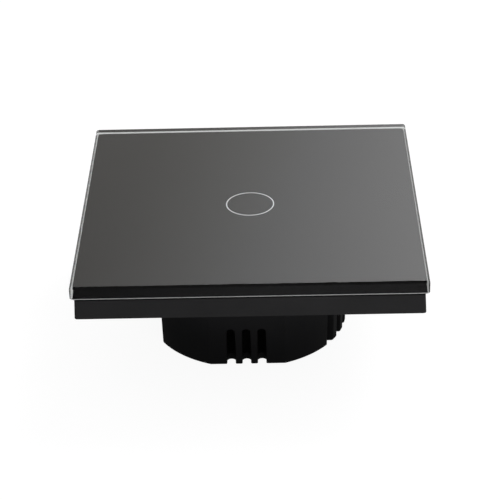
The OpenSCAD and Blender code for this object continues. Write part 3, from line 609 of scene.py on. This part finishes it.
def circuit_board(board):
    """Laminate under solder mask: tracks stand a little proud and lighter, and cut edges are bare."""
    finish = Finish("circuit_board", Specular_IOR_Level=0.5)
    waves = {"Vector": finish.place, "Scale": 1 / (4.4 * MM)}
    bands = [finish.add("ShaderNodeTexWave", waves, bands_direction=way).outputs["Fac"] for way in "XY"]
    along, across = (finish.between(band, start=0.72, end=0.78) for band in bands)
    patch = finish.between(finish.noise(size=7 * MM, detail=0.0), start=0.49, end=0.51)
    track = finish.mixed(patch, across, along)
    facing = finish.parts(finish.add("ShaderNodeNewGeometry").outputs["Normal"])
    flat = finish.between(finish.reckon("ABSOLUTE", facing["Z"]), start=0.45, end=0.55)
    weave = finish.noise(size=0.5 * MM, detail=1.0, stretch=(1, 0.25, 1))
    mask = finish.tones(track, board.mask_colour, board.track_colour, start=0.1, end=0.9)
    cut = finish.mottled(weave, board.laminate_colour, dark=0.7, light=1.0)
    return finish.done(
        Base_Color=finish.blended(flat, cut, mask),
        Roughness=finish.between(flat, low=0.7, high=0.28, start=0.0, end=1.0),
        relief=finish.reckon("MULTIPLY_ADD", weave, 0.2, track),
        depth=0.03 * MM,
    )


def legged(name, node, board, metals, leg):
    """Moulded epoxy body of a node whose legs, at both ends along Y, are tinned metal."""
    middle, half = node_box(node)[2:]
    finish = Finish(name, Specular_IOR_Level=0.4)
    y = finish.parts(finish.place)["Y"]
    off = finish.reckon("ABSOLUTE", finish.reckon("SUBTRACT", y, middle[1]))
    on_leg = finish.reckon("GREATER_THAN", off, half[1] - leg)
    grain = finish.noise(size=0.15 * MM, detail=3.0)
    epoxy = finish.mottled(grain, board.chip_colour, dark=0.7, light=1.4)
    return finish.done(
        Base_Color=finish.blended(on_leg, epoxy, metals.tin_colour),
        Metallic=on_leg,
        Roughness=finish.between(on_leg, low=0.55, high=0.3, start=0.0, end=1.0),
        relief=grain,
        depth=0.006 * MM,
    )


def banded(name, rgb, middle, half, bands):
    """Matte coat with painted bands: each has its middle and width in shares of the length, and a colour."""
    finish = Finish(name, Specular_IOR_Level=0.4)
    share = finish.between(finish.parts(finish.place)["X"], start=middle - half, end=middle + half)
    speckle = finish.noise(size=0.12 * MM)
    hue = finish.mottled(speckle, rgb, dark=0.8, light=1.2)
    for centre, width, paint in bands:
        hue = finish.blended(finish.reckon("COMPARE", share, centre, width / 2), hue, paint)
    gloss = finish.between(speckle, low=0.4, high=0.6)
    return finish.done(Base_Color=hue, Roughness=gloss, relief=speckle, depth=0.008 * MM)


def sleeved(name, sleeve, stripe, bare):
    """Glossy shrunk sleeve with a pale stripe, and bare metal where the can's top is left open."""
    finish = Finish(name, Specular_IOR_Level=0.5)
    waves = finish.noise(size=1.6 * MM)
    hue = finish.blended(finish.marked("stripe"), finish.mottled(waves, sleeve, dark=0.8, light=1.2), stripe)
    top = finish.marked("bare_top")
    return finish.done(
        Base_Color=finish.blended(top, hue, bare),
        Metallic=top,
        Roughness=finish.between(waves, low=0.18, high=0.32),
        relief=waves,
        depth=0.01 * MM,
    )


def wound(name, wire, cheek):
    """Enamelled winding between the plain cheeks of a bobbin."""
    finish = Finish(name, Specular_IOR_Level=0.5, Coat_Weight=0.4)
    haze = finish.noise(size=0.8 * MM, detail=3.0)
    hue = finish.blended(finish.marked("wire"), cheek, finish.mottled(haze, wire, dark=0.7, light=1.2))
    return finish.done(Base_Color=hue, Roughness=finish.between(haze, low=0.22, high=0.4))


# Pieces


def part_settings(context):
    """The settings of the boards, the plastics and the metals."""
    scene = context.scene
    return scene.switch_board, scene.switch_plastic, scene.switch_metal


class SWITCH_OT_glass_panel(bpy.types.Operator):
    """Make the glass slab with its bevelled and ground edges"""

    bl_idname = "switch.glass_panel"
    bl_label = "Glass panel"

    def execute(self, context):
        panel = context.scene.switch_panel
        low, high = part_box("glass_panel")
        bevel = panel.glass_bevel
        chamfer = panel.glass_chamfer
        land = 2 * panel.glass_arris
        corners = [
            (chamfer + land, low.z), (chamfer, low.z), (0, low.z + chamfer),
            (0, high.z - bevel), (bevel, high.z), (bevel + land, high.z),
        ]
        section = eased(corners, panel.glass_arris)
        points = round_square(section, high.x, panel.glass_corner)
        glass = clear_glass(panel)
        piece = new_piece("glass_slab", *joined(points), glass, "panel", "panel_glass", "glass_panel")
        middle = (section[1:] + section[:-1]) / 2
        ground = (middle[:, 0] < chamfer) & (middle[:, 1] < low.z + chamfer)
        caps = (False, False)
        finishes = np.append(np.repeat(ground, points.shape[1]), caps).astype(np.int32)
        piece.data.materials.append(ground_glass(panel))
        piece.data.polygons.foreach_set("material_index", finishes)
        return {"FINISHED"}


def layers(turn, *levels):
    """Rows of points at (reach cos a, reach sin a, z), one row for each reach and height z."""
    reach, height = (np.stack(values) for values in zip(*levels))
    z = np.broadcast_to(height[:, None], reach.shape)
    return np.stack([reach * np.cos(turn), reach * np.sin(turn), z], axis=-1)


class SWITCH_OT_back_print(bpy.types.Operator):
    """Make the black ink on the back of the glass and the pale ring left open in it"""

    bl_idname = "switch.back_print"
    bl_label = "Back print and ring"
    steps = 384

    def execute(self, context):
        panel = context.scene.switch_panel
        low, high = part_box("back_print")
        top = high.z + panel.print_bond
        turn = np.linspace(0, math.tau, self.steps, endpoint=False)
        outer = square_reach(turn, high.x, panel.print_corner)
        hole = np.full_like(outer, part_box("touch_ring")[1].x)
        disc = hole - panel.ring_line
        sheet = layers(turn, (hole, top), (hole, low.z), (outer, low.z), (outer, top))
        dot = layers(turn, (disc, low.z), (disc, top))
        line = layers(turn, (disc, top), (disc, low.z), (hole, low.z), (hole, top))
        hoop = ring_quads(*sheet.shape[:2], close_rows=True)
        lid = capped_quads(*dot.shape[:2], start=sheet.shape[0] * self.steps)
        ink = printed("black_ink", panel.ink_colour)
        pale = printed("pale_ink", panel.ring_colour, panel.ring_glow)
        both = np.concatenate([sheet, dot])
        new_piece("ink_print", both, hoop + lid, ink, "panel", "black_ink", "back_print")
        new_piece("ring_print", line, hoop, pale, "panel", "pale_ink", "touch_ring")
        return {"FINISHED"}


class SWITCH_OT_panel_frame(bpy.types.Operator):
    """Finish the moulded frame behind the glass and the tape that holds the glass"""

    bl_idname = "switch.panel_frame"
    bl_label = "Panel frame and tape"

    def execute(self, context):
        plastic = context.scene.switch_plastic
        satin = moulded("frame_plastic", plastic.frame_colour)
        finish_nodes(satin, "panel_frame", edge=plastic.fine_edge)
        finish_nodes(foam_tape(plastic), "glass_tape")
        return {"FINISHED"}


class SWITCH_OT_mounting_plate(bpy.types.Operator):
    """Finish the pressed steel plate"""

    bl_idname = "switch.mounting_plate"
    bl_label = "Mounting plate"

    def execute(self, context):
        metals = context.scene.switch_metal
        steel = metal("plated_steel", metals.steel_colour, roughness=0.34, stretch=(0.08, 1, 1))
        finish_nodes(steel, "mounting_plate", edge=metals.edge)
        return {"FINISHED"}


class SWITCH_OT_front_cover(bpy.types.Operator):
    """Finish the cover over the touch board and the light guide in it"""

    bl_idname = "switch.front_cover"
    bl_label = "Front cover and light guide"

    def execute(self, context):
        plastic = context.scene.switch_plastic
        satin = moulded("cover_plastic", plastic.cover_colour)
        finish_nodes(satin, "front_cover", edge=plastic.edge)
        finish_nodes(frosted_guide(plastic), "light_guide", edge=plastic.fine_edge)
        return {"FINISHED"}


class SWITCH_OT_touch_electronics(bpy.types.Operator):
    """Finish the touch board, its parts and the board connector"""

    bl_idname = "switch.touch_electronics"
    bl_label = "Touch board and connector"

    def execute(self, context):
        board, plastic, metals = part_settings(context)
        fine = plastic.fine_edge
        chip = legged("touch_chip_epoxy", "touch_chip", board, metals, leg=1.25 * MM)
        black = moulded("connector_plastic", plastic.connector_colour, roughness=0.5)
        finish_nodes(circuit_board(board), "touch_board")
        finish_nodes(metal("bare_copper", metals.copper_colour, roughness=0.32), "touch_pad")
        finish_nodes(dipped("lamp_resin", board.lamp_colour), "indicator_leds", edge=fine)
        finish_nodes(chip, "touch_chip", edge=fine, segments=1)
        finish_nodes(dipped("chip_ceramic", board.ceramic_colour), "touch_board_parts", edge=fine)
        finish_nodes(black, "header_socket", "header_strip", edge=fine)
        finish_nodes(metal("pin_brass", metals.brass_colour, roughness=0.25), "header_pins", edge=fine)
        return {"FINISHED"}


def make_smoothing_can(board, metals):
    """Smoothing capacitor: a sleeved can with a rolled neck and a rolled rim round its bare top."""
    _, high, middle, half = node_box("smoothing_capacitor")
    reach = half[0]
    tall = 2 * half[2]
    neck = 2 * MM
    roll = 0.35 * MM
    border = 0.9 * MM
    stripe_share = 0.15
    rim = reach - border
    lid = tall - roll / 2
    corners = [
        (0, reach - roll), (0, reach), (neck - roll, reach), (neck, reach - roll), (neck + roll, reach),
        (tall, reach), (tall, rim), (lid, rim), (lid, reach - 2 * border),
    ]
    section = eased(corners, roll / 3)
    points = turned(section, (*middle[:2], high[2]), (0, 0, -1))
    coat = sleeved("can_sleeve", board.sleeve_colour, board.stripe_colour, metals.tin_colour)
    piece = new_piece("smoothing_can", *joined(points), coat, "module", "can_sleeve", "smoothing_capacitor")
    columns = np.arange(points.shape[1])
    bare_reach = rim - 0.05 * border
    mark(piece, "bare_top", section[:, 1] < bare_reach, np.ones_like(columns))
    mark(piece, "stripe", section[:, 1] > rim, columns < stripe_share * len(columns))


def make_varistor(board, tin):
    """Varistor: a disc with the rim (s, r) = (t / 2 sin u, R - e + e cos u), on two straight leads."""
    low, high, middle, half = node_box("varistor")
    middle[2] = low[2] + half[0]
    rim = 1.2 * MM
    spread = np.array((2.5 * MM, 0, 0))
    u = np.linspace(-QUARTER, QUARTER, num=17)
    section = np.stack([half[1] * np.sin(u), half[0] - rim + rim * np.cos(u)], axis=-1)
    disc = turned(section, middle, (0, 1, 0))
    coat = dipped("varistor_coat", board.varistor_colour)
    new_piece("varistor_disc", *joined(disc), coat, "module", "varistor_coat", "varistor")
    leads = []
    for start in (middle - spread, middle + spread):
        route = np.linspace(start, (*start[:2], high[2]), num=3)
        leads.append(bent_wire(route))
    new_piece("varistor_leads", *joined(*leads), tin, "module", "plated_steel", "varistor")


def make_fuse_resistor(board, tin):
    """Fusible resistor: a waisted body turned about X, with bands, on two bent leads.

    The right half of its section has points at shares of half the length, and the left half
    mirrors it.
    """
    low, high, middle, size = node_box("fuse_resistor")
    reach = size[1]
    middle[2] = low[2] + reach
    run = 0.9 * MM
    half = size[0] - LEAD_RADIUS - run
    waist = 0.86 * reach
    edge = 0.3 * MM
    right = np.array([(0.4, waist), (0.65, waist), (0.75, reach), (1.0, reach), (1.0, LEAD_RADIUS)])
    corners = np.concatenate([right[::-1] * (-1, 1), right]) * (half, 1)
    body = turned(eased(corners, edge), middle, (1, 0, 0))
    dark, pale = board.band_colour, board.stripe_colour
    bands = ((0.13, 0.1, dark), (0.42, 0.08, pale), (0.58, 0.08, dark))
    coat = banded("resistor_coat", board.resistor_colour, middle[0], half, bands)
    new_piece("resistor_body", *joined(body), coat, "module", "resistor_coat", "fuse_resistor")
    leads = []
    for way in np.array([(-1, 0, 0), (1, 0, 0)]):
        start = middle + (half - LEAD_RADIUS) * way
        bend = middle + (half + run) * way
        route = eased([start, bend, (*bend[:2], high[2])], 0.8 * run, steps=8)
        leads.append(bent_wire(route))
    new_piece("resistor_leads", *joined(*leads), tin, "module", "plated_steel", "fuse_resistor")


class SWITCH_OT_power_electronics(bpy.types.Operator):
    """Finish the capacitors, resistor, varistor and rectifier on the power board"""

    bl_idname = "switch.power_electronics"
    bl_label = "Power board's parts"

    def execute(self, context):
        board, plastic, metals = part_settings(context)
        case = moulded("film_case", plastic.film_colour, roughness=0.5)
        tin = metal("lead_tin", metals.tin_colour)
        block = legged("rectifier_epoxy", "bridge_rectifier", board, metals, leg=0.5 * MM)
        finish_nodes(case, "film_capacitor", edge=plastic.edge)
        make_smoothing_can(board, metals)
        make_varistor(board, tin)
        make_fuse_resistor(board, tin)
        finish_nodes(block, "bridge_rectifier", edge=plastic.fine_edge)
        return {"FINISHED"}


def make_coil(board, plastic):
    """Bobbin and winding: the wire's ridges are the ripple a cos(2 pi s / pitch + angle) on its rows."""
    low, _, middle, half = node_box("relay_coil")
    reach = half[0]
    long = 2 * half[2]
    cheek = 0.6 * MM
    bore = 1.5 * MM
    pitch = 0.23 * MM
    ridge = 0.05 * MM
    soft = math.radians(60)
    wire = reach - 0.55 * MM
    runs = np.linspace(cheek, long - cheek, num=320)
    section = np.concatenate([
        [(0, bore), (0, reach), (cheek, reach)],
        np.stack([runs, np.full_like(runs, wire)], axis=-1),
        [(long - cheek, reach), (long, reach), (long, bore)],
    ])
    on_wire = np.abs(section[:, 1] - wire) < HAIR
    points = turned(section, (*middle[:2], low[2]), (0, 0, 1), ridge * on_wire, pitch)
    faces = ring_quads(*points.shape[:2], close_rows=True)
    copper = wound("enamelled_wire", board.wire_colour, plastic.terminal_colour)
    piece = new_piece("coil_winding", points, faces, copper, "module", "enamelled_wire", "relay_coil", soft)
    mark(piece, "wire", on_wire, np.ones(points.shape[1]))


class SWITCH_OT_relay(bpy.types.Operator):
    """Finish the relay's case, iron, coil and contacts"""

    bl_idname = "switch.relay"
    bl_label = "Relay"

    def execute(self, context):
        board, plastic, metals = part_settings(context)
        blue = moulded("relay_plastic", plastic.relay_colour, roughness=0.35, shine=0.5)
        iron = metal("soft_iron", metals.iron_colour, roughness=0.36)
        finish_nodes(None, "relay_base", edge=plastic.edge)
        finish_nodes(blue, "relay_cover", edge=plastic.edge)
        make_coil(board, plastic)
        finish_nodes(iron, "relay_yoke", "relay_armature", edge=plastic.fine_edge)
        finish_nodes(metal("contact_copper", metals.copper_colour), "relay_spring", "relay_contacts")
        return {"FINISHED"}


class SWITCH_OT_terminals(bpy.types.Operator):
    """Finish the terminal block, its bars, cages and screws"""

    bl_idname = "switch.terminals"
    bl_label = "Terminals"
    ways = (1, 2, 3)

    def execute(self, context):
        _, plastic, metals = part_settings(context)
        grey = moulded("terminal_plastic", plastic.terminal_colour, roughness=0.5)
        brass = metal("clamp_brass", metals.brass_colour, roughness=0.28)
        steel = metal("screw_steel", metals.steel_colour)
        cages = [f"clamp_cage_{way}" for way in self.ways]
        screws = [f"terminal_screw_{way}" for way in self.ways]
        finish_nodes(grey, "terminal_block", edge=plastic.fine_edge)
        finish_nodes(brass, "terminal_bars", *cages, edge=metals.edge)
        finish_nodes(steel, *screws, edge=metals.edge)
        return {"FINISHED"}


class SWITCH_OT_rear_housing(bpy.types.Operator):
    """Finish the vented housing and the screws that hold it"""

    bl_idname = "switch.rear_housing"
    bl_label = "Rear housing and screws"
    vent_head = 8.9 * MM

    def execute(self, context):
        _, plastic, metals = part_settings(context)
        # Painted light: the housing's tone is painted paler from its foot up to the wall.
        depth = -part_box("rear_housing")[0].z
        # Painted shade: the housing's black is partly its own and partly the shade under the panel, painted
        # in.
        black = moulded(
            "housing_plastic", plastic.housing_black_and_shade, roughness=0.5, shine=0.1, foot=depth,
            painted_lift=plastic.housing_painted_light
        )
        below_heads = outer_edges("below_vent_heads", self.vent_head - depth)
        finish_nodes(black, "rear_housing", edge=plastic.housing_edge, weights=below_heads)
        finish_nodes(None, "housing_screws", edge=metals.edge)
        return {"FINISHED"}


# Stage


def make_camera(scene, stage):
    """Camera at the photograph's viewing angle, turned about its aim and moved back from it."""
    place = Matrix.Translation(stage.aim)
    for turn, axis in ((stage.azimuth, "Z"), (QUARTER - stage.elevation, "X"), (stage.roll, "Z")):
        place @= Matrix.Rotation(turn, 4, axis)
    camera = bpy.data.objects.new("camera", bpy.data.cameras.new("camera"))
    camera.data.lens = stage.lens
    camera.data.clip_start = 10 * MM
    camera.matrix_world = place @ Matrix.Translation((0, 0, stage.distance))
    scene.collection.objects.link(camera)
    scene.camera = camera


def seen_directly(nodes):
    """1 for rays from the eye, or through glass, and 0 for others; and 1 for rays off gloss."""
    rays = nodes.add("ShaderNodeLightPath").outputs
    direct = nodes.reckon("MAXIMUM", rays["Is Camera Ray"], rays["Is Transmission Ray"])
    return direct, rays["Is Glossy Ray"]


def pale_floor(stage):
    """Floor finish that shows white where no shade falls, is duller in gloss and is clear from below."""
    material = bpy.data.materials.new("pale_floor")
    material.use_nodes = True
    nodes = Nodes(material.node_tree)
    nodes.tree.nodes.remove(nodes.tree.nodes["Principled BSDF"])
    direct, gloss = seen_directly(nodes)
    place = nodes.parts(nodes.add("ShaderNodeTexCoord").outputs["Object"])
    left, right = -45 * MM, 5 * MM
    near, far = 60 * MM, 160 * MM
    front = nodes.between(place["X"], stage.floor_gloss_low, stage.floor_gloss_high, left, right)
    back = nodes.between(place["Y"], start=near, end=far)
    side = nodes.mixed(back, front, stage.floor_gloss_back)
    white = nodes.mixed(direct, nodes.reckon("MULTIPLY", gloss, side), stage.floor_white)
    pale = nodes.blended(gloss, stage.floor_colour, BLACK)
    pale = nodes.blended(direct, pale, shaded(WHITE, stage.floor_shade))
    matte = nodes.add("ShaderNodeBsdfDiffuse", {"Color": pale})
    lit = nodes.add("ShaderNodeEmission", {"Strength": white})
    both = nodes.add("ShaderNodeAddShader", {0: matte.outputs[0], 1: lit.outputs[0]})
    below = nodes.add("ShaderNodeNewGeometry").outputs["Backfacing"]
    clear = nodes.add("ShaderNodeBsdfTransparent")
    shown = nodes.add("ShaderNodeMixShader", {0: below, 1: both.outputs[0], 2: clear.outputs[0]})
    nodes.feed(nodes.tree.nodes["Material Output"].inputs["Surface"], shown.outputs[0])
    return material


def make_floor(scene, stage):
    """Square floor on which the module stands."""
    reach = stage.floor_size
    height = CAD_BOX[0].z
    corners = [(x * reach, y * reach, height) for x, y in ((-1, -1), (1, -1), (1, 1), (-1, 1))]
    mesh = bpy.data.meshes.new("floor")
    mesh.from_pydata(corners, [], [range(len(corners))])
    mesh.materials.append(pale_floor(stage))
    floor = bpy.data.objects.new("floor", mesh)
    scene.collection.objects.link(floor)


def make_room(scene, stage):
    """White room: even light on matte surfaces, and a broad soft box behind on the right in gloss."""
    room = bpy.data.worlds.new("room")
    room.use_nodes = True
    nodes = Nodes(room.node_tree)
    direct, gloss = seen_directly(nodes)
    heading = nodes.add("ShaderNodeTexCoord").outputs["Generated"]
    soft_box = Vector((0.5, 0.56, 0.66)).normalized()
    rim, core = 0.74, 0.93
    front, back = -0.3, 0.5
    smooth = {"interpolation_type": "SMOOTHSTEP"}
    towards = nodes.add("ShaderNodeVectorMath", {0: heading, 1: soft_box}, operation="DOT_PRODUCT")
    inside = nodes.between(towards.outputs["Value"], start=rim, end=core, **smooth)
    behind = nodes.between(nodes.parts(heading)["Y"], start=front, end=back, **smooth)
    box = nodes.mixed(inside, stage.soft_gloss_low, stage.soft_gloss_high)
    glossy = nodes.mixed(behind, stage.front_gloss, box)
    strength = nodes.mixed(direct, nodes.mixed(gloss, stage.room_light, glossy), 1.0)
    tint = nodes.tones(inside, stage.warm_colour, WHITE, start=0.0, end=0.3)
    plain = nodes.reckon("SUBTRACT", 1.0, nodes.reckon("SUBTRACT", gloss, direct))
    background = nodes.tree.nodes["Background"].inputs
    nodes.feed(background["Strength"], strength)
    nodes.feed(background["Color"], nodes.blended(plain, tint, WHITE))
    scene.world = room


def make_lamp(scene, name, place, size, power):
    """Square soft box that faces the switch; gloss sees the room instead of it."""
    lamp = bpy.data.objects.new(name, bpy.data.lights.new(name, "AREA"))
    lamp.data.size = size
    lamp.data.energy = power
    lamp.location = place
    lamp.rotation_euler = Vector(place).to_track_quat("Z", "Y").to_euler()
    lamp.visible_glossy = False
    lamp.visible_camera = False
    scene.collection.objects.link(lamp)


class SWITCH_OT_stage(bpy.types.Operator):
    """Make the camera, the pale floor, the white room and the soft boxes"""

    bl_idname = "switch.stage"
    bl_label = "Stage"

    def execute(self, context):
        scene = context.scene
        stage = scene.switch_stage
        make_camera(scene, stage)
        make_floor(scene, stage)
        make_room(scene, stage)
        make_lamp(scene, "soft_box_behind", place=(0.45, 0.5, 0.7), size=0.6, power=stage.key_power)
        make_lamp(scene, "soft_box_front", place=(0.35, -0.75, 0.2), size=0.5, power=stage.fill_power)
        scene.view_settings.view_transform = "Standard"
        return {"FINISHED"}


SETTINGS = {
    "switch_panel": PanelSettings,
    "switch_plastic": PlasticSettings,
    "switch_metal": MetalSettings,
    "switch_board": BoardSettings,
    "switch_stage": StageSettings,
}
OPERATORS = (
    SWITCH_OT_glass_panel,
    SWITCH_OT_back_print,
    SWITCH_OT_panel_frame,
    SWITCH_OT_mounting_plate,
    SWITCH_OT_front_cover,
    SWITCH_OT_touch_electronics,
    SWITCH_OT_power_electronics,
    SWITCH_OT_relay,
    SWITCH_OT_terminals,
    SWITCH_OT_rear_housing,
    SWITCH_OT_stage,
)


class SWITCH_PT_pieces(bpy.types.Panel):
    """Lists the pieces of the switch in the sidebar"""

    bl_idname = "SWITCH_PT_pieces"
    bl_label = "Touch light switch"
    bl_space_type = "VIEW_3D"
    bl_region_type = "UI"
    bl_category = "Switch"

    def draw(self, context):
        for operator in OPERATORS:
            self.layout.operator(operator.bl_idname)


CLASSES = (*SETTINGS.values(), *OPERATORS, SWITCH_PT_pieces)


def register():
    """Registers the classes and hangs the settings on the scene."""
    for cls in CLASSES:
        bpy.utils.register_class(cls)
    for name, group in SETTINGS.items():
        setattr(bpy.types.Scene, name, bpy.props.PointerProperty(type=group))


def unregister():
    """Takes the settings and the classes away again."""
    for name in SETTINGS:
        delattr(bpy.types.Scene, name)
    for cls in reversed(CLASSES):
        bpy.utils.unregister_class(cls)


def main():
    """Makes every piece and the stage."""
    register()
    for operator in OPERATORS:
        getattr(bpy.ops.switch, operator.bl_idname.split(".")[1])()


if __name__ == "__main__":
    main()
